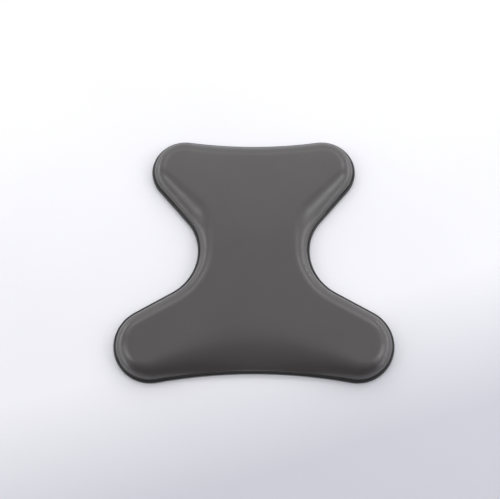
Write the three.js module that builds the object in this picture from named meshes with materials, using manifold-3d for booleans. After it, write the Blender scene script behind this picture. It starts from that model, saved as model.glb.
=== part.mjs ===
// Chair armrest pad: a moulded polyurethane cushion on a plywood core and a black tray.
//
// Millimetres, +Z up. The pad lies flat on Z = 0 with its middle over the origin.
// Seen from above it is an hourglass: two wide front lobes at -Y, two narrower
// rear lobes at +Y, a round bay on each side and slightly hollow front and rear edges.

import * as THREE from 'three';
import { mergeVertices } from 'three/addons/utils/BufferGeometryUtils.js';
import Module from 'manifold-3d';

const wasm = await Module();
wasm.setup();

// ---- Driving dimensions: plan outline of the tray rim ----
const FRONT_LOBE = { x: 102, y: -93.5, r: 38 };
const REAR_LOBE = { x: 74, y: 96.5, r: 35 };
const SIDE_BAY = { x: 109, y: 5, r: 51 };
const FRONT_EDGE_Y = -122.3; // middle of the hollow front edge
const REAR_EDGE_Y = 126.2; // middle of the hollow rear edge
const LOBE_STEP = THREE.MathUtils.degToRad(9); // turn per facet on lobes and bays
const EDGE_STEP = THREE.MathUtils.degToRad(3); // turn per facet on the long edges

// ---- Driving dimensions: tray ----
const RIM_HEIGHT = 5.4;
const RIM_WALL = 2.2;
const RIM_ROUND = 1.8; // rounding of the rim's outer top edge
const RIM_CHAMFER = 0.8; // at the foot of the rim
const FOOT_WIDTH = 5; // flat ring that the tray stands on
const FLOOR_UNDERSIDE = 1.2;
const FLOOR_TOP = 4;
const SEAT = { width: 58, length: 124, corner: 8 }; // flat seat for the chair's bracket
const RIB = { width: 2.4, underside: 0.4 };
const BOSS_RADIUS = 8;

// ---- Driving dimensions: cushion ----
const GAP = 0.3; // between neighbouring pieces
const PAD_INSET = RIM_WALL + GAP;
const PAD_UNDERSIDE = FLOOR_TOP + GAP;
const SHOULDER_HEIGHT = 20.1; // where the rolled edge ends
const CROWN = 0.6; // extra height of the middle
const EDGE_ROLL = 16; // width of the rolled edge, sides and rear
const FRONT_ROLL = 46; // width of the long front slope at its middle
const FRONT_SLOPE_REACH = 125; // from the middle, where the front slope has narrowed to EDGE_ROLL
const EDGE_POWER = 1.2; // of the sine that shapes the rolled edge
const FRONT_POWER = 2; // the same at the middle of the front slope
const ROLL_TURNS = [0, 14, 30, 48, 68, 90].map(THREE.MathUtils.degToRad);
const CROWN_RINGS = [{ inward: 4, rise: 0.6 }, { inward: 9, rise: 1 }];

// ---- Driving dimensions: core and fasteners ----
const CORE_THICKNESS = 6;
const CORE_INSET = 16; // from the rim's outside to the core, sides and rear
const FRONT_CORE_INSET = 28; // the same at the middle of the front slope
const ANCHOR_RADIUS = 8; // holes in the core that the foam keys through
const ANCHORS = [[0, 74], [0, -70], [57, 76], [-57, 76], [74, -66], [-74, -66]];
const BOLT_SPACING = { x: 40, y: 100 };
const NUT = { flange: 9.5, thickness: 1.3, barrel: 4, bore: 2.55, foot: 0.8 };
const PRONG = { count: 3, reach: 7.4, width: 2.4, thickness: 0.9, length: 4 };
const SCREW = { head: 4, headBottom: 0.2, bearing: 2.2, shank: 2, tip: 9.3 };
const CROSS = { length: 4.4, width: 0.9, depth: 1.1 };
const COUNTERBORE = { radius: 4.6, top: SCREW.bearing + GAP };
const SCREWS = [
  [0, 98], [76, 101], [-76, 101], [0, -90], [106, -99], [-106, -99],
  [36, 5], [-36, 5], [50, -40], [-50, -40],
];
const HOLE_SIDES = 16;
const CORE_UNDERSIDE = PAD_UNDERSIDE;
const CORE_TOP = CORE_UNDERSIDE + CORE_THICKNESS;
const FLANGE_BOTTOM = CORE_TOP + GAP;
const FLANGE_TOP = FLANGE_BOTTOM + NUT.thickness;
const THROUGH = 1; // overshoot of a cutter past the face it cuts

const MATERIALS = {
  cushion: { color: 0x5f5d5e, roughness: 0.5, metalness: 0 },
  tray: { color: 0x2b2c2d, roughness: 0.45, metalness: 0 },
  plywood: { color: 0xc39a63, roughness: 0.75, metalness: 0 },
  zinc: { color: 0xb9bdc1, roughness: 0.35, metalness: 1 },
  blackScrew: { color: 0x2f3032, roughness: 0.4, metalness: 0.9 },
};

// ---- Plan outline: arcs that meet at equal normals ----
// An arc's point is centre + radius * normal, so a hollow arc has a negative radius,
// and moving every point inwards along its normal gives the true inset outline.

/** Radius of the hollow arc through (0, edgeY) that is tangent to the lobe. */
function hollowEdgeRadius(lobe, edgeY) {
  const reach = Math.abs(edgeY - lobe.y);
  return (lobe.x ** 2 + reach ** 2 - lobe.r ** 2) / (2 * (lobe.r - reach));
}

/** Angle of the normal of the straight flank between a lobe and the side bay. */
function flankNormal(lobe, side) {
  const dx = SIDE_BAY.x - lobe.x;
  const dy = SIDE_BAY.y - lobe.y;
  const swing = Math.acos((lobe.r + SIDE_BAY.r) / Math.hypot(dx, dy));
  return Math.atan2(dy, dx) + side * swing;
}

function sampleArc({ x, y, radius, from, to, step }) {
  const count = Math.max(1, Math.round(Math.abs(to - from) / step));
  return Array.from({ length: count + 1 }, (_, i) => {
    const angle = from + (to - from) * i / count;
    const nx = Math.cos(angle);
    const ny = Math.sin(angle);
    return { x: x + radius * nx, y: y + radius * ny, nx, ny };
  });
}

/** Points of the rim outline with their outward normals, anticlockwise from the front middle. */
function outlineStations() {
  const frontRadius = hollowEdgeRadius(FRONT_LOBE, FRONT_EDGE_Y);
  const rearRadius = hollowEdgeRadius(REAR_LOBE, REAR_EDGE_Y);
  const frontY = FRONT_EDGE_Y - frontRadius;
  const rearY = REAR_EDGE_Y + rearRadius;
  const frontTangent = Math.atan2(frontY - FRONT_LOBE.y, -FRONT_LOBE.x);
  const rearTangent = Math.atan2(rearY - REAR_LOBE.y, -REAR_LOBE.x);
  const frontFlank = flankNormal(FRONT_LOBE, -1);
  const rearFlank = flankNormal(REAR_LOBE, 1);
  const lobeArc = (lobe, from, to) => ({ x: lobe.x, y: lobe.y, radius: lobe.r, from, to, step: LOBE_STEP });
  const right = [
    { x: 0, y: frontY, radius: -frontRadius, from: -Math.PI / 2, to: frontTangent, step: EDGE_STEP },
    lobeArc(FRONT_LOBE, frontTangent, frontFlank),
    { ...lobeArc(SIDE_BAY, frontFlank, rearFlank), radius: -SIDE_BAY.r },
    lobeArc(REAR_LOBE, rearFlank, rearTangent),
    { x: 0, y: rearY, radius: -rearRadius, from: rearTangent, to: Math.PI / 2, step: EDGE_STEP },
  ].flatMap(sampleArc);
  const left = right.map((s) => ({ ...s, x: -s.x, nx: -s.nx })).reverse();
  const all = [...right, ...left];
  const apart = (a, b) => Math.hypot(a.x - b.x, a.y - b.y) > 1e-6;
  return all.filter((s, i) => apart(s, all[(i + 1) % all.length]));
}

const stations = outlineStations();

/** How much a station belongs to the long front slope: 1 at the front middle, 0 elsewhere. */
function frontShare({ x, ny }) {
  const across = Math.min(1, Math.abs(x) / FRONT_SLOPE_REACH);
  const facing = THREE.MathUtils.smoothstep(-ny, 0, 1);
  return facing * (1 + Math.cos(Math.PI * across)) / 2;
}

function rollWidth(station) {
  return THREE.MathUtils.lerp(EDGE_ROLL, FRONT_ROLL, frontShare(station));
}

/** Ring of points, inset and z given as numbers or as functions of the station. */
function ring(inset, z) {
  const valueAt = (value, station) => (typeof value === 'function' ? value(station) : value);
  return stations.map((s) => {
    const d = valueAt(inset, s);
    return new THREE.Vector3(s.x - d * s.nx, s.y - d * s.ny, valueAt(z, s));
  });
}

// ---- Solids ----

/** Closed geometry through rings of equal length, lowest first, with flat ends. */
function loft(rings) {
  const count = rings[0].length;
  const index = [];
  for (let r = 0; r < rings.length - 1; r++) {
    for (let i = 0; i < count; i++) {
      const a = r * count + i;
      const b = r * count + (i + 1) % count;
      index.push(a, b, b + count, a, b + count, a + count);
    }
  }
  const capOf = (points) => THREE.ShapeUtils.triangulateShape(points.map((p) => new THREE.Vector2(p.x, p.y)), []);
  const top = (rings.length - 1) * count;
  capOf(rings[0]).forEach(([a, b, c]) => index.push(c, b, a));
  capOf(rings.at(-1)).forEach(([a, b, c]) => index.push(top + a, top + b, top + c));
  const geometry = new THREE.BufferGeometry().setFromPoints(rings.flat());
  geometry.setIndex(index);
  return geometry;
}

function toSolid(geometry) {
  const bare = geometry.clone();
  bare.deleteAttribute('normal');
  bare.deleteAttribute('uv');
  const merged = mergeVertices(bare, 1e-4);
  const vertProperties = new Float32Array(merged.attributes.position.array);
  const triVerts = new Uint32Array(merged.index.array);
  return new wasm.Manifold(new wasm.Mesh({ numProp: 3, vertProperties, triVerts }));
}

function toGeometry(solid) {
  const { vertProperties, triVerts } = solid.getMesh();
  const geometry = new THREE.BufferGeometry();
  geometry.setAttribute('position', new THREE.BufferAttribute(vertProperties, 3));
  geometry.setIndex(new THREE.BufferAttribute(triVerts, 1));
  geometry.computeVertexNormals();
  return geometry;
}

function disc(x, y, radius, bottom, top) {
  const geometry = new THREE.CylinderGeometry(radius, radius, top - bottom, HOLE_SIDES);
  geometry.rotateX(Math.PI / 2).translate(x, y, (top + bottom) / 2);
  return toSolid(geometry);
}

function block(width, length, bottom, top) {
  const geometry = new THREE.BoxGeometry(width, length, top - bottom);
  return geometry.translate(0, 0, (top + bottom) / 2);
}

function lathe(profile, sides) {
  const points = profile.map(([radius, z]) => new THREE.Vector2(radius, z));
  return toSolid(new THREE.LatheGeometry(points, sides).rotateX(Math.PI / 2));
}

const union = (solids) => solids.reduce((whole, next) => whole.add(next));
const prism = (inset, bottom, top) => toSolid(loft([ring(inset, bottom), ring(inset, top)]));

// ---- Places of the fasteners ----
const boltPlaces = [[1, 1], [-1, 1], [-1, -1], [1, -1]].map(([sx, sy]) => (
  [sx * BOLT_SPACING.x / 2, sy * BOLT_SPACING.y / 2]
));
const prongTurns = Array.from({ length: PRONG.count }, (_, i) => Math.PI / 2 + i * 2 * Math.PI / PRONG.count);

/** The upright prongs under a tee nut's flange, or with a margin the slots they sit in. */
function prongs(x, y, margin, top) {
  const bottom = FLANGE_BOTTOM - PRONG.length - margin;
  return prongTurns.map((turn) => {
    const blade = block(PRONG.width + 2 * margin, PRONG.thickness + 2 * margin, bottom, top);
    return toSolid(blade.translate(0, PRONG.reach, 0).rotateZ(turn).translate(x, y, 0));
  });
}

// ---- Tray ----

function seatPlate() {
  const { width, length, corner } = SEAT;
  const x = width / 2 - corner;
  const y = length / 2 - corner;
  const shape = new THREE.Shape();
  shape.absarc(x, y, corner, 0, Math.PI / 2);
  shape.absarc(-x, y, corner, Math.PI / 2, Math.PI);
  shape.absarc(-x, -y, corner, Math.PI, 1.5 * Math.PI);
  shape.absarc(x, -y, corner, 1.5 * Math.PI, 2 * Math.PI);
  shape.closePath();
  const height = FLOOR_UNDERSIDE + THROUGH;
  return toSolid(new THREE.ExtrudeGeometry(shape, { depth: height, bevelEnabled: false, curveSegments: 5 }));
}

/** Shallow rib under the floor from the middle of the tray out to a screw boss. */
function rib([x, y]) {
  const bar = block(RIB.width, Math.hypot(x, y), RIB.underside, FLOOR_UNDERSIDE + THROUGH);
  return toSolid(bar.translate(0, Math.hypot(x, y) / 2, 0).rotateZ(Math.atan2(-x, y)));
}

function buildTray() {
  const roundTurns = [0, 45, 90].map(THREE.MathUtils.degToRad);
  const body = toSolid(loft([
    ring(RIM_CHAMFER, 0),
    ring(0, RIM_CHAMFER),
    ...roundTurns.map((turn) => (
      ring(RIM_ROUND * (1 - Math.cos(turn)), RIM_HEIGHT - RIM_ROUND * (1 - Math.sin(turn)))
    )),
  ]));
  const well = prism(RIM_WALL, FLOOR_TOP, RIM_HEIGHT + THROUGH);
  const bosses = SCREWS.map(([x, y]) => disc(x, y, BOSS_RADIUS, 0, FLOOR_UNDERSIDE + THROUGH));
  const recess = prism(FOOT_WIDTH, -THROUGH, FLOOR_UNDERSIDE)
    .subtract(union([seatPlate(), ...bosses, ...SCREWS.map(rib)]));
  const holes = [
    ...SCREWS.map(([x, y]) => disc(x, y, COUNTERBORE.radius, -THROUGH, COUNTERBORE.top)),
    ...SCREWS.map(([x, y]) => disc(x, y, SCREW.shank + GAP, 0, FLOOR_TOP + THROUGH)),
    ...boltPlaces.map(([x, y]) => disc(x, y, NUT.barrel + GAP, -THROUGH, FLOOR_TOP + THROUGH)),
  ];
  return body.subtract(well).subtract(recess).subtract(union(holes));
}

// ---- Core ----

const coreInset = (station) => THREE.MathUtils.lerp(CORE_INSET, FRONT_CORE_INSET, frontShare(station));

function buildCore() {
  const bottom = CORE_UNDERSIDE - THROUGH;
  const top = CORE_TOP + THROUGH;
  return prism(coreInset, CORE_UNDERSIDE, CORE_TOP).subtract(union([
    ...ANCHORS.map(([x, y]) => disc(x, y, ANCHOR_RADIUS, bottom, top)),
    ...SCREWS.map(([x, y]) => disc(x, y, SCREW.shank + GAP, bottom, top)),
    ...boltPlaces.map(([x, y]) => disc(x, y, NUT.barrel + GAP, bottom, top)),
    ...boltPlaces.flatMap(([x, y]) => prongs(x, y, GAP, top)),
  ]));
}

// ---- Cushion ----

/** Height of the rolled edge: a full round at the sides that eases into a slope at the front. */
function rollHeight(station, turn) {
  const power = THREE.MathUtils.lerp(EDGE_POWER, FRONT_POWER, frontShare(station));
  return RIM_HEIGHT + (SHOULDER_HEIGHT - RIM_HEIGHT) * Math.sin(turn) ** power;
}

function buildCushion() {
  const rollRings = ROLL_TURNS.map((turn) => ring(
    (station) => PAD_INSET + rollWidth(station) * (1 - Math.cos(turn)),
    (station) => rollHeight(station, turn),
  ));
  const crownRings = CROWN_RINGS.map(({ inward, rise }) => ring(
    (station) => PAD_INSET + rollWidth(station) + inward,
    SHOULDER_HEIGHT + CROWN * rise,
  ));
  const body = toSolid(loft([ring(PAD_INSET, PAD_UNDERSIDE), ...rollRings, ...crownRings]));
  const corePocket = prism((station) => coreInset(station) - GAP, PAD_UNDERSIDE - THROUGH, FLANGE_BOTTOM);
  const nutPockets = boltPlaces.map(([x, y]) => (
    disc(x, y, NUT.flange + GAP, CORE_UNDERSIDE, FLANGE_TOP + GAP)
  ));
  const keys = ANCHORS.map(([x, y]) => disc(x, y, ANCHOR_RADIUS - GAP, PAD_UNDERSIDE, FLANGE_BOTTOM + THROUGH));
  return body.subtract(corePocket).subtract(union(nutPockets)).add(union(keys));
}

// ---- Fasteners ----

function buildTeeNut(x, y) {
  const ringProfile = [
    [NUT.bore, NUT.foot], [NUT.barrel, NUT.foot], [NUT.barrel, FLANGE_BOTTOM],
    [NUT.flange, FLANGE_BOTTOM], [NUT.flange, FLANGE_TOP], [NUT.bore, FLANGE_TOP], [NUT.bore, NUT.foot],
  ];
  const body = lathe(ringProfile, HOLE_SIDES).translate([x, y, 0]);
  return union([body, ...prongs(x, y, 0, FLANGE_BOTTOM + NUT.thickness / 2)]);
}

function buildScrew(x, y) {
  const { head, headBottom, bearing, shank, tip } = SCREW;
  const body = lathe([
    [0, headBottom], [head * 0.62, headBottom + 0.1], [head * 0.9, headBottom + 0.6],
    [head, headBottom + 1.3], [head, bearing], [shank, bearing], [shank, tip - 2], [0, tip],
  ], 16);
  const slot = toSolid(block(CROSS.length, CROSS.width, headBottom - THROUGH, headBottom + CROSS.depth));
  const crossSlot = toSolid(block(CROSS.width, CROSS.length, headBottom - THROUGH, headBottom + CROSS.depth));
  return body.subtract(slot).subtract(crossSlot).translate([x, y, 0]);
}

// ---- Assembly ----
const armrestPad = new THREE.Group();

function addPart(name, solid, look) {
  const mesh = new THREE.Mesh(toGeometry(solid), new THREE.MeshStandardMaterial(MATERIALS[look]));
  mesh.name = name;
  armrestPad.add(mesh);
}

addPart('base_shell', buildTray(), 'tray');
addPart('core_board', buildCore(), 'plywood');
addPart('foam_pad', buildCushion(), 'cushion');
boltPlaces.forEach(([x, y], i) => addPart(`tee_nut_${i + 1}`, buildTeeNut(x, y), 'zinc'));
SCREWS.forEach(([x, y], i) => addPart(`shell_screw_${i + 1}`, buildScrew(x, y), 'blackScrew'));

export default armrestPad;
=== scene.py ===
"""Looks of the chair armrest pad: a satin moulded cushion on a black tray, in a pale studio."""
import math

import bmesh
import bpy
import numpy as np
from mathutils import Matrix, Vector
from mathutils.geometry import delaunay_2d_cdt


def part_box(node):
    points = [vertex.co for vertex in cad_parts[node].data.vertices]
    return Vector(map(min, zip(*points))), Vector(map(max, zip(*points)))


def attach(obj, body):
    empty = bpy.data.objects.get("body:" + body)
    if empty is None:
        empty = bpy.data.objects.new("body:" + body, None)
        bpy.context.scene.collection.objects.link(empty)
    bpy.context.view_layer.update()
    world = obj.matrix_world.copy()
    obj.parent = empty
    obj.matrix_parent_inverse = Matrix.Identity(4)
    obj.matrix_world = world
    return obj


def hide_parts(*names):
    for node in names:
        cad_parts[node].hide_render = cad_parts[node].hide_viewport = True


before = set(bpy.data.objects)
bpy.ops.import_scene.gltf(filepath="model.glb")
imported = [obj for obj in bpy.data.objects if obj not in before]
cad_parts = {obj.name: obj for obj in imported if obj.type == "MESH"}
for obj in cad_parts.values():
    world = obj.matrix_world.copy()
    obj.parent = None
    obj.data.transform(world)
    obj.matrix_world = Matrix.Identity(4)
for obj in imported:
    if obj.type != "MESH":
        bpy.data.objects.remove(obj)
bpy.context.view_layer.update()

MM = 0.001

# ---- Plan outline of the tray rim, in millimetres, as in the part ----
FRONT_LOBE = (102.0, -93.5, 38.0)  # x, y, radius
REAR_LOBE = (74.0, 96.5, 35.0)
SIDE_BAY = (109.0, 5.0, 51.0)
FRONT_EDGE_Y = -122.3
REAR_EDGE_Y = 126.2
STATION_SPACING = 2.0  # along the outline

# ---- Tray ----
RIM_HEIGHT = 5.4
RIM_WALL = 2.2
RIM_ROUND = 1.8
FOOT_ROUND = 0.8
FOOT_WIDTH = 5.0
FLOOR_UNDERSIDE = 1.2
FLOOR_TOP = 4.0
SEAT_SIZE = (58.0, 124.0)
SEAT_CORNER = 8.0
RIB_WIDTH = 2.4
RIB_UNDERSIDE = 0.4
BOSS_RADIUS = 8.0
COUNTERBORE = (4.6, 2.5)  # radius, top
SCREW_HOLE = 2.3
BOLT_HOLE = 4.3

# ---- Cushion ----
GAP = 0.3
PAD_INSET = RIM_WALL + GAP
PAD_UNDERSIDE = FLOOR_TOP + GAP
PAD_RISE = 14.7  # from the rim's top to the plateau
EDGE_RUN = 16.0  # from the rim inwards to the plateau, sides and rear
FRONT_RUN = 46.0  # the same at the middle of the front slope
EDGE_POWER = 1.2  # of the sine that shapes the rolled edge
FRONT_POWER = 2.0
FRONT_SLOPE_REACH = 125.0
CROWN = 0.6  # gentle rise of the middle above the plateau
CROWN_SPREAD = (80.0, 95.0)
ROLL_STEPS = 26
GRID_SPACING = 4.0  # of the plateau's mesh
SKIRT_CHAMFER = 0.4  # at the cushion's lower edge, inside the rim
FLASH_REACH = 0.28  # how far the parting line's flash stands out over the rim
FLASH_HEIGHTS = (-0.1, 0.12, 0.24, 0.36)  # over the rim's top: start, lower edge, upper edge, end
CORE_INSET = 16.0  # sides and rear
FRONT_CORE_INSET = 28.0
POCKET_TOP = 10.6
FLANGE_POCKET = (9.8, 12.2)  # radius, top
ANCHORS = [(0, 74), (0, -70), (57, 76), (-57, 76), (74, -66), (-74, -66)]
ANCHOR_KEY_RADIUS = 7.7

# ---- Camera and studio ----
CAMERA_ELEVATION = 70.2
CAMERA_DISTANCE = 0.828
CAMERA_LENS = 57.1
CAMERA_AIM = (-0.0039, 0.00885, 0.0)
WORLD_STRENGTH = 0.12
FLOOR_REACH = 6.0
BACKDROP_RADIUS = 1.4
BACKDROP_HEIGHT = 5.0
SOFTBOXES = [  # name, place, width and height in metres, radiance
    ("overhead", (0, 0.12, 1.3), (2.0, 1.3), 0.79),
    ("front_fill", (0, -0.8, 1.15), (1.8, 0.6), 0.3),
    ("back", (0, 0.9, 0.82), (2.0, 0.75), 1.75),
    ("back_low", (0, 1.3, 0.25), (2.4, 0.5), 1.1),
    ("right_rear_box", (1.08, 0.75, 0.98), (0.6, 0.5), 2.3),
    ("right_front_box", (1.06, -0.2, 1.0), (0.6, 0.45), 4.8),
    ("right_rear_wall", (1.45, 0.65, 0.6), (0.8, 0.5), 0.8),
    ("right_front_wall", (1.45, -0.3, 0.72), (1.1, 0.5), 1.6),
    ("right_low", (1.55, 0.15, 0.11), (2.8, 0.2), 5.4),
    ("left_rear_box", (-1.08, 0.75, 0.98), (0.6, 0.5), 1.6),
    ("left_front_box", (-1.06, -0.2, 1.0), (0.6, 0.45), 3.8),
    ("left_rear_wall", (-1.45, 0.65, 0.6), (0.8, 0.5), 0.6),
    ("left_front_wall", (-1.45, -0.3, 0.72), (1.1, 0.5), 1.1),
    ("left_low", (-1.55, 0.15, 0.11), (2.8, 0.2), 5.2),
]


# ---------------------------------------------------------------- outline

def hollow_edge_radius(lobe, edge_y):
    """Radius of the hollow arc through (0, edge_y) that is tangent to the lobe."""
    x, y, radius = lobe
    reach = abs(edge_y - y)
    return (x ** 2 + reach ** 2 - radius ** 2) / (2 * (radius - reach))


def flank_normal(lobe, side):
    """Angle of the normal of the straight flank between a lobe and the side bay."""
    dx = SIDE_BAY[0] - lobe[0]
    dy = SIDE_BAY[1] - lobe[1]
    swing = math.acos((lobe[2] + SIDE_BAY[2]) / math.hypot(dx, dy))
    return math.atan2(dy, dx) + side * swing


def arc(centre, radius, start, end):
    """Rows of x, y and outward normal. A hollow arc has a negative radius."""
    count = max(2, round(abs((end - start) * radius) / STATION_SPACING))
    angles = np.linspace(start, end, count + 1)
    normals = np.c_[np.cos(angles), np.sin(angles)]
    return np.c_[np.array(centre) + radius * normals, normals]


def with_straights(stretches):
    """Joins the arcs and fills the straight flanks between them."""
    rows = [stretches[0]]
    for before, after in zip(stretches, stretches[1:]):
        span = np.linalg.norm(after[0, :2] - before[-1, :2])
        count = max(1, round(span / STATION_SPACING))
        share = np.linspace(0, 1, count + 1)[1:-1, None]
        rows += [before[-1] * (1 - share) + after[0] * share, after]
    return np.concatenate(rows)


def outline_stations():
    """The rim outline anticlockwise from the front middle: x, y, normal x, normal y."""
    front_radius = hollow_edge_radius(FRONT_LOBE, FRONT_EDGE_Y)
    rear_radius = hollow_edge_radius(REAR_LOBE, REAR_EDGE_Y)
    front_y = FRONT_EDGE_Y - front_radius
    rear_y = REAR_EDGE_Y + rear_radius
    front_tangent = math.atan2(front_y - FRONT_LOBE[1], -FRONT_LOBE[0])
    rear_tangent = math.atan2(rear_y - REAR_LOBE[1], -REAR_LOBE[0])
    front_flank = flank_normal(FRONT_LOBE, -1)
    rear_flank = flank_normal(REAR_LOBE, 1)
    right = with_straights([
        arc((0, front_y), -front_radius, -math.pi / 2, front_tangent),
        arc(FRONT_LOBE[:2], FRONT_LOBE[2], front_tangent, front_flank),
        arc(SIDE_BAY[:2], -SIDE_BAY[2], front_flank, rear_flank),
        arc(REAR_LOBE[:2], REAR_LOBE[2], rear_flank, rear_tangent),
        arc((0, rear_y), -rear_radius, rear_tangent, math.pi / 2),
    ])
    left = (right * [-1, 1, -1, 1])[::-1]
    whole = np.concatenate([right, left])
    apart = np.linalg.norm((whole - np.roll(whole, -1, axis=0))[:, :2], axis=1) > 1e-6
    return whole[apart]


STATIONS = outline_stations()


def front_share():
    """How much each station belongs to the front slope: 1 at the front middle, 0 elsewhere."""
    across = np.clip(np.abs(STATIONS[:, 0]) / FRONT_SLOPE_REACH, 0, 1)
    facing = np.clip(-STATIONS[:, 3], 0, 1)
    facing = facing ** 2 * (3 - 2 * facing)
    return facing * (1 + np.cos(math.pi * across)) / 2


def ring(inset, z):
    """Ring of points in millimetres; inset and z are numbers or one value per station."""
    inset = np.broadcast_to(inset, len(STATIONS))
    z = np.broadcast_to(z, len(STATIONS))
    return np.c_[STATIONS[:, :2] - inset[:, None] * STATIONS[:, 2:], z]


# ---------------------------------------------------------------- places of the CAD nodes

def nodes_named(start):
    return sorted(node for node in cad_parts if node.startswith(start))


def middle_of(node):
    """Plan position of a node's middle, in millimetres."""
    low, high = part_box(node)
    return (low[0] + high[0]) / 2 / MM, (low[1] + high[1]) / 2 / MM


# ---------------------------------------------------------------- mesh tools

def new_object(name, mesh):
    piece = bpy.data.objects.new(name, mesh)
    bpy.context.scene.collection.objects.link(piece)
    return piece


def bands(ring_count, size):
    """Quads between rings that follow one another."""
    quads = []
    for r in range(ring_count - 1):
        for i in range(size):
            a = r * size + i
            b = r * size + (i + 1) % size
            quads.append((a, b, b + size, a + size))
    return quads


def loft(name, rings):
    """Closed object through rings given from the lower cap round to the upper cap."""
    size = len(rings[0])
    faces = bands(len(rings), size)
    faces.append(tuple(reversed(range(size))))
    faces.append(tuple(range((len(rings) - 1) * size, len(rings) * size)))
    mesh = bpy.data.meshes.new(name)
    mesh.from_pydata((np.concatenate(rings) * MM).tolist(), [], faces)
    mesh.update()
    return new_object(name, mesh)


def from_bmesh(name, shape):
    mesh = bpy.data.meshes.new(name)
    shape.to_mesh(mesh)
    shape.free()
    return new_object(name, mesh)


def disc(x, y, radius, bottom, top, sides=48):
    """Upright cylinder, in millimetres."""
    shape = bmesh.new()
    place = Matrix.Translation(Vector((x, y, (bottom + top) / 2)) * MM)
    bmesh.ops.create_cone(
        shape, cap_ends=True, segments=sides, radius1=radius * MM, radius2=radius * MM,
        depth=(top - bottom) * MM, matrix=place,
    )
    return from_bmesh("disc", shape)


def bar(end, width, bottom, top):
    """Upright slab from the middle of the tray out to a point, in millimetres."""
    length = math.hypot(*end)
    shape = bmesh.new()
    bmesh.ops.create_cube(shape, size=MM)
    bmesh.ops.scale(shape, vec=(length, width, top - bottom), verts=shape.verts)
    bmesh.ops.translate(shape, vec=Vector((length / 2, 0, (bottom + top) / 2)) * MM, verts=shape.verts)
    turn = Matrix.Rotation(math.atan2(end[1], end[0]), 3, "Z")
    bmesh.ops.rotate(shape, matrix=turn, verts=shape.verts)
    return from_bmesh("bar", shape)


def rounded_plate(size, corner, bottom, top, steps=10):
    """Upright plate with round corners about the middle, in millimetres."""
    x, y = size[0] / 2 - corner, size[1] / 2 - corner
    points = []
    for quarter, (sx, sy) in enumerate([(1, 1), (-1, 1), (-1, -1), (1, -1)]):
        for angle in np.linspace(quarter, quarter + 1, steps) * math.pi / 2:
            points.append((sx * x + corner * math.cos(angle), sy * y + corner * math.sin(angle)))
    outline = np.array(points)
    rings = [np.c_[outline, np.full(len(outline), z)] for z in (bottom, top)]
    return loft("plate", rings)


def combine(piece, tools, operation):
    """Joins the tools to the piece, or cuts them out of it, and removes them."""
    group = bpy.data.collections.new("tools")
    for tool in tools:
        group.objects.link(tool)
    step = piece.modifiers.new("combine", "BOOLEAN")
    step.operation = operation
    step.operand_type = "COLLECTION"
    step.collection = group
    step.solver = "EXACT"
    result = bpy.data.meshes.new_from_object(piece.evaluated_get(bpy.context.evaluated_depsgraph_get()))
    piece.modifiers.clear()
    piece.data = result
    for tool in tools:
        bpy.data.objects.remove(tool)
    bpy.data.collections.remove(group)


def tidy_mesh(piece, crease_degrees):
    """Welds, makes triangles of many-sided faces and shades smooth except at creases."""
    shape = bmesh.new()
    shape.from_mesh(piece.data)
    bmesh.ops.remove_doubles(shape, verts=shape.verts, dist=1e-7)
    many_sided = [face for face in shape.faces if len(face.verts) > 4]
    bmesh.ops.triangulate(shape, faces=many_sided)
    shape.to_mesh(piece.data)
    shape.free()
    piece.data.shade_smooth()
    piece.data.set_sharp_from_angle(angle=math.radians(crease_degrees))


# ---------------------------------------------------------------- cushion

def plateau_height(x, y, share):
    """Extra height of the crown, share 0 at the rim and 1 on the plateau."""
    spread_x, spread_y = CROWN_SPREAD
    blend = share ** 2 * (3 - 2 * share)
    return CROWN * np.exp(-(x / spread_x) ** 2 - (y / spread_y) ** 2) * blend


def roll_rings():
    """The rolled edge: a full round at the sides and rear that eases into the front slope."""
    share = front_share()
    run = EDGE_RUN + (FRONT_RUN - EDGE_RUN) * share
    power = EDGE_POWER + (FRONT_POWER - EDGE_POWER) * share
    rings = []
    for turn in np.linspace(0, math.pi / 2, ROLL_STEPS + 1):
        along = 1 - math.cos(turn)
        height = PAD_RISE * math.sin(turn) ** power
        row = ring(PAD_INSET + run * along, RIM_HEIGHT + height)
        row[:, 2] += plateau_height(row[:, 0], row[:, 1], along)
        rings.append(row)
    return rings


def flash_presence():
    """Where the moulding flash was trimmed less: a wandering value from 0 to 1 round the rim."""
    turn = np.linspace(0, 2 * math.pi, len(STATIONS), endpoint=False)
    wander = np.sin(7 * turn + 0.6) + 0.7 * np.sin(19 * turn + 2.1) + 0.5 * np.sin(43 * turn + 4.0)
    return np.clip(0.35 + 0.4 * wander, 0, 1)


def inside_ring(points, edge):
    """Which of the points lie inside the closed ring, by counting its crossings."""
    x, y = points[:, :1], points[:, 1:]
    x1, y1 = edge[:, 0], edge[:, 1]
    x2, y2 = np.roll(x1, -1), np.roll(y1, -1)
    straddles = (y1 > y) != (y2 > y)
    rise = np.where(y2 == y1, 1.0, y2 - y1)
    crossings = straddles & (x < x1 + (y - y1) / rise * (x2 - x1))
    return crossings.sum(axis=1) % 2 == 1


def plateau_faces(edge):
    """Even mesh of the plateau inside the last ring.

    Returns the points, the triangles and, for each point, its number on the ring or in the grid after it.
    """
    low, high = edge[:, :2].min(axis=0), edge[:, :2].max(axis=0)
    xs = np.arange(low[0], high[0], GRID_SPACING)
    ys = np.arange(low[1], high[1], GRID_SPACING)
    grid = np.array([(x, y) for y in ys for x in xs])
    apart = np.linalg.norm(grid[:, None] - edge[None, :, :2], axis=2).min(axis=1)
    grid = grid[(apart > GRID_SPACING * 0.45) & inside_ring(grid, edge)]
    points = [Vector(p) for p in np.concatenate([edge[:, :2], grid]).tolist()]
    rim = [tuple(range(len(edge)))]
    found = delaunay_2d_cdt(points, [], rim, 1, 1e-6)
    kept_points, triangles, sources = found[0], found[2], found[3]
    flat = np.array([tuple(p) for p in kept_points])
    source = [ids[0] if ids else -1 for ids in sources]
    return flat, triangles, source


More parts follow.
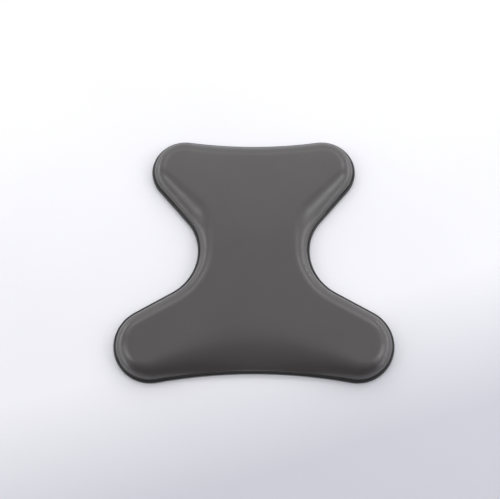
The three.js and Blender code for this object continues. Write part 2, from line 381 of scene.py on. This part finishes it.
def build_cushion():
    """The moulding: skirt inside the rim, flash, rolled edge and crowned plateau."""
    flash_inset = PAD_INSET - FLASH_REACH * flash_presence()
    start, lower, upper, end = [RIM_HEIGHT + height for height in FLASH_HEIGHTS]
    skirt = [
        ring(PAD_INSET + SKIRT_CHAMFER, PAD_UNDERSIDE),
        ring(PAD_INSET, PAD_UNDERSIDE + SKIRT_CHAMFER),
        ring(PAD_INSET, start),
        ring(flash_inset, lower),
        ring(flash_inset, upper),
        ring(PAD_INSET, end),
    ]
    roll = roll_rings()
    for row in roll[1:4]:  # the lowest rings of the roll start above the flash
        row[:, 2] = np.maximum(row[:, 2], skirt[-1][:, 2] + 0.02)
    rows = skirt + roll[1:]
    size = len(STATIONS)
    points = np.concatenate(rows)
    faces = bands(len(rows), size)
    faces.append(tuple(reversed(range(size))))
    last = (len(rows) - 1) * size
    flat, triangles, source = plateau_faces(rows[-1])
    level = RIM_HEIGHT + PAD_RISE + plateau_height(flat[:, 0], flat[:, 1], np.ones(len(flat)))
    inner = np.c_[flat, level]
    number = {}
    extra = []
    for i, origin in enumerate(source):
        if 0 <= origin < size:
            number[i] = last + origin
        else:
            number[i] = len(points) + len(extra)
            extra.append(inner[i])
    faces += [tuple(number[i] for i in face) for face in triangles]
    mesh = bpy.data.meshes.new("cushion")
    mesh.from_pydata((np.concatenate([points, np.array(extra)]) * MM).tolist(), [], faces)
    mesh.update()
    return new_object("moulded_cushion", mesh)


def hollow_cushion(piece):
    """Cuts the core's pocket and the tee nuts' pockets out of the cushion's underside."""
    inset = CORE_INSET + (FRONT_CORE_INSET - CORE_INSET) * front_share() - GAP
    pocket = loft("pocket", [ring(inset, PAD_UNDERSIDE - 1), ring(inset, POCKET_TOP)])
    keys = [disc(x, y, ANCHOR_KEY_RADIUS, PAD_UNDERSIDE, POCKET_TOP + 1) for x, y in ANCHORS]
    combine(pocket, keys, "DIFFERENCE")
    radius, top = FLANGE_POCKET
    flanges = [disc(*middle_of(node), radius, PAD_UNDERSIDE + 1, top) for node in nodes_named("tee_nut")]
    combine(piece, [pocket, *flanges], "DIFFERENCE")


# ---------------------------------------------------------------- tray

def tray_rings():
    """The tray's section from the recessed underside, round the rim and down to its floor."""
    foot = FOOT_ROUND
    top = RIM_ROUND
    outer_foot = [
        ring(foot - foot * math.sin(t), foot - foot * math.cos(t)) for t in np.radians([0, 30, 60, 90])
    ]
    outer_top = [
        ring(top - top * math.cos(t), RIM_HEIGHT - top + top * math.sin(t))
        for t in np.radians(np.linspace(0, 90, 9))
    ]
    return [
        ring(FOOT_WIDTH + 0.3, FLOOR_UNDERSIDE),
        ring(FOOT_WIDTH, FLOOR_UNDERSIDE - 0.3),
        ring(FOOT_WIDTH, 0.2),
        ring(FOOT_WIDTH - 0.2, 0),
        *outer_foot,
        *outer_top,
        ring(RIM_WALL - 0.25, RIM_HEIGHT),
        ring(RIM_WALL - 0.07, RIM_HEIGHT - 0.07),
        ring(RIM_WALL, RIM_HEIGHT - 0.25),
        ring(RIM_WALL, FLOOR_TOP + 0.2),
        ring(RIM_WALL + 0.2, FLOOR_TOP),
    ]


def build_tray():
    tray = loft("moulded_tray", tray_rings())
    screws = [middle_of(node) for node in nodes_named("shell_screw")]
    bolts = [middle_of(node) for node in nodes_named("tee_nut")]
    inside = FLOOR_UNDERSIDE + 1
    raised = [rounded_plate(SEAT_SIZE, SEAT_CORNER, 0, inside)]
    raised += [disc(x, y, BOSS_RADIUS, 0, inside) for x, y in screws]
    raised += [bar(end, RIB_WIDTH, RIB_UNDERSIDE, inside) for end in screws]
    combine(tray, raised, "UNION")
    bore, bore_top = COUNTERBORE
    holes = [disc(x, y, bore, -1, bore_top) for x, y in screws]
    holes += [disc(x, y, SCREW_HOLE, -1, FLOOR_TOP + 1) for x, y in screws]
    holes += [disc(x, y, BOLT_HOLE, -1, FLOOR_TOP + 1) for x, y in bolts]
    combine(tray, holes, "DIFFERENCE")
    return tray


# ---------------------------------------------------------------- materials

class Shader:
    """A material with one Principled shader and short calls for its nodes."""

    def __init__(self, name, **values):
        self.material = bpy.data.materials.new(name)
        self.material.use_nodes = True
        self.tree = self.material.node_tree
        self.surface = self.tree.nodes["Principled BSDF"]
        for socket, value in values.items():
            self.surface.inputs[socket.replace("_", " ")].default_value = value
        self.place = self.tree.nodes.new("ShaderNodeTexCoord").outputs["Object"]

    def node(self, kind, inputs=None, **settings):
        made = self.tree.nodes.new("ShaderNode" + kind)
        for name, value in settings.items():
            setattr(made, name, value)
        for name, value in (inputs or {}).items():
            self.put(made.inputs[name], value)
        return made

    def put(self, socket, value):
        if isinstance(value, bpy.types.NodeSocket):
            self.tree.links.new(value, socket)
        else:
            socket.default_value = value

    def noise(self, scale, detail=2.0, roughness=0.5, stretch=None):
        place = self.place
        if stretch:
            place = self.node("Mapping", {"Vector": place, "Scale": stretch}).outputs["Vector"]
        inputs = {"Vector": place, "Scale": scale, "Detail": detail, "Roughness": roughness}
        return self.node("TexNoise", inputs).outputs["Fac"]

    def scaled(self, value, low, high, start=0.35, end=0.65):
        inputs = {"Value": value, "From Min": start, "From Max": end, "To Min": low, "To Max": high}
        return self.node("MapRange", inputs).outputs["Result"]

    def mix(self, factor, first, second):
        made = self.node("Mix", data_type="RGBA")
        self.put(made.inputs["Factor"], factor)
        colours = [socket for socket in made.inputs if socket.type == "RGBA"]
        self.put(colours[0], first)
        self.put(colours[1], second)
        return [socket for socket in made.outputs if socket.type == "RGBA"][0]

    def bump(self, height, strength, depth, below=None):
        inputs = {"Height": height, "Strength": strength, "Distance": depth}
        if below:
            inputs["Normal"] = below
        return self.node("Bump", inputs).outputs["Normal"]

    def finish(self, **links):
        for socket, value in links.items():
            self.put(self.surface.inputs[socket.replace("_", " ")], value)
        return self.material


def cushion_skin():
    """Satin polyurethane skin: faint mottling, a few pale specks and a moulded micro grain."""
    skin = Shader("cushion_skin", IOR=1.62)
    mottle = skin.noise(22, detail=3)
    specks = skin.noise(420, detail=1)
    tone = skin.mix(skin.scaled(mottle, 0, 1), (0.0470, 0.0430, 0.0423, 1), (0.0510, 0.0467, 0.0460, 1))
    dusty = skin.mix(skin.scaled(specks, 0, 0.3, 0.68, 0.80), tone, (0.075, 0.072, 0.071, 1))
    rough = skin.scaled(skin.noise(60, detail=4), 0.31, 0.37)
    grain = skin.noise(2600, detail=2)
    pores = skin.noise(900, detail=1)
    fine = skin.bump(grain, 0.22, 0.00005)
    both = skin.bump(pores, 0.12, 0.00008, below=fine)
    return skin.finish(Base_Color=dusty, Roughness=rough, Normal=both)


def tray_plastic():
    """Black polypropylene with a fine spark-eroded texture."""
    plastic = Shader("tray_plastic", IOR=1.49)
    cloud = plastic.scaled(plastic.noise(35), 0, 1)
    tone = plastic.mix(cloud, (0.007, 0.007, 0.008, 1), (0.010, 0.010, 0.011, 1))
    rough = plastic.scaled(plastic.noise(150, detail=3), 0.42, 0.54)
    relief = plastic.bump(plastic.noise(3200, detail=1), 0.25, 0.00004)
    return plastic.finish(Base_Color=tone, Roughness=rough, Normal=relief)


def plywood():
    """Birch plywood: long face grain, and plies that show on the edges."""
    wood = Shader("core_plywood", IOR=1.5)
    grain = wood.noise(60, detail=6, roughness=0.6, stretch=(6.0, 0.35, 4.0))
    face = wood.mix(wood.scaled(grain, 0, 1, 0.3, 0.7), (0.50, 0.30, 0.13, 1), (0.66, 0.45, 0.23, 1))
    layers = {"Vector": wood.place, "Scale": 165.0, "Distortion": 0.4}
    plies = wood.node("TexWave", layers, bands_direction="Z")
    tone = wood.mix(wood.scaled(plies.outputs["Fac"], 0, 0.45, 0.2, 0.8), face, (0.33, 0.18, 0.08, 1))
    relief = wood.bump(grain, 0.3, 0.0002)
    return wood.finish(Base_Color=tone, Roughness=wood.scaled(grain, 0.6, 0.75, 0.3, 0.7), Normal=relief)


def zinc_plate():
    """Bright zinc plating with faint cloudiness."""
    zinc = Shader("nut_zinc", Metallic=1.0)
    cloud = zinc.noise(240, detail=3)
    tone = zinc.mix(zinc.scaled(cloud, 0, 1), (0.52, 0.54, 0.57, 1), (0.66, 0.67, 0.68, 1))
    relief = zinc.bump(zinc.noise(1800, detail=1), 0.15, 0.00003)
    return zinc.finish(Base_Color=tone, Roughness=zinc.scaled(cloud, 0.28, 0.42), Normal=relief)


def black_screw():
    """Black phosphate coating, rubbed brighter in places."""
    steel = Shader("screw_black", Metallic=0.85)
    rub = steel.noise(500, detail=3)
    tone = steel.mix(steel.scaled(rub, 0, 1, 0.5, 0.75), (0.03, 0.031, 0.033, 1), (0.12, 0.12, 0.12, 1))
    relief = steel.bump(steel.noise(2200, detail=1), 0.2, 0.00003)
    return steel.finish(Base_Color=tone, Roughness=steel.scaled(rub, 0.38, 0.52), Normal=relief)


def studio_paper():
    """Pale sheet with the faintest unevenness, and painted shade that makes it greyer towards its front
    right.
    """
    paper = Shader("studio_paper", Roughness=0.9)
    light = paper.mix(paper.scaled(paper.noise(3), 0, 1), (0.825, 0.825, 0.865, 1), (0.855, 0.855, 0.89, 1))
    towards = {0: paper.place, 1: (0.3, -1.0, 0.0)}
    distance = paper.node("VectorMath", towards, operation="DOT_PRODUCT").outputs["Value"]
    # painted shade: the sheet's colour darkens towards its front right, standing in for light that falls
    # off there
    painted_shade = paper.scaled(distance, 0, 1, start=0.08, end=0.22)
    return paper.finish(Base_Color=paper.mix(painted_shade, light, (0.605, 0.605, 0.67, 1)))


def dress(piece, material):
    piece.data.materials.clear()
    piece.data.materials.append(material)


def dress_node(node, material):
    """A carried-over CAD node keeps its mesh and takes the material in its own slots."""
    for slot in bpy.data.objects[node].material_slots:
        slot.material = material


# ---------------------------------------------------------------- the object

cushion = build_cushion()
hollow_cushion(cushion)
tidy_mesh(cushion, 40)
dress(cushion, cushion_skin())
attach(cushion, "root")
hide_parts("foam_pad")

tray = build_tray()
tidy_mesh(tray, 35)
dress(tray, tray_plastic())
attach(tray, "root")
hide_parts("base_shell")

dress_node("core_board", plywood())
zinc = zinc_plate()
for node in nodes_named("tee_nut"):
    dress_node(node, zinc)
screw_coat = black_screw()
for node in nodes_named("shell_screw"):
    dress_node(node, screw_coat)


# ---------------------------------------------------------------- studio

def aim(obj, target):
    obj.rotation_mode = "QUATERNION"
    obj.rotation_quaternion = (Vector(target) - obj.location).to_track_quat("-Z", "Y")


def softbox(name, place, size, radiance):
    """Rectangular light of a given surface brightness, aimed at the pad."""
    data = bpy.data.lights.new(name, "AREA")
    data.shape = "RECTANGLE"
    data.size, data.size_y = size
    data.energy = radiance * math.pi * size[0] * size[1]
    lamp = bpy.data.objects.new(name, data)
    bpy.context.scene.collection.objects.link(lamp)
    lamp.location = place
    aim(lamp, (0, 0, 0))


def make_floor():
    mesh = bpy.data.meshes.new("floor")
    reach = FLOOR_REACH
    corners = [(-reach, -reach, 0), (reach, -reach, 0), (reach, reach, 0), (-reach, reach, 0)]
    mesh.from_pydata(corners, [], [(0, 1, 2, 3)])
    floor = new_object("floor", mesh)
    dress(floor, studio_paper())


def make_backdrop():
    """Pale wall all round, seen by the camera only, so that it adds no light to the pad."""
    shape = bmesh.new()
    bmesh.ops.create_cone(
        shape, cap_ends=False, segments=96, radius1=BACKDROP_RADIUS, radius2=BACKDROP_RADIUS,
        depth=BACKDROP_HEIGHT, matrix=Matrix.Translation((0, 0, BACKDROP_HEIGHT / 2)),
    )
    wall = from_bmesh("backdrop", shape)
    glow = (0.92, 0.92, 0.95, 1)
    paint = Shader("studio_wall", Base_Color=(0, 0, 0, 1), Roughness=1.0, Emission_Color=glow)
    tone = paint.scaled(paint.noise(0.4), 0.97, 1.0)
    dress(wall, paint.finish(Emission_Strength=tone))
    wall.visible_diffuse = False
    wall.visible_glossy = False
    wall.visible_transmission = False
    wall.visible_shadow = False


def make_world():
    world = bpy.data.worlds.new("studio")
    bpy.context.scene.world = world
    world.use_nodes = True
    sky = world.node_tree.nodes["Background"]
    sky.inputs["Color"].default_value = (0.93, 0.93, 1.0, 1)
    sky.inputs["Strength"].default_value = WORLD_STRENGTH


def make_camera():
    data = bpy.data.cameras.new("camera")
    data.lens = CAMERA_LENS
    data.sensor_width = 36
    camera = bpy.data.objects.new("camera", data)
    bpy.context.scene.collection.objects.link(camera)
    tilt = math.radians(CAMERA_ELEVATION)
    back = Vector((0, -math.cos(tilt), math.sin(tilt)))
    camera.location = Vector(CAMERA_AIM) + CAMERA_DISTANCE * back
    aim(camera, CAMERA_AIM)
    bpy.context.scene.camera = camera


make_floor()
make_backdrop()
make_world()
for name, place, size, radiance in SOFTBOXES:
    softbox(name, place, size, radiance)
make_camera()
bpy.context.scene.view_settings.view_transform = "Standard"
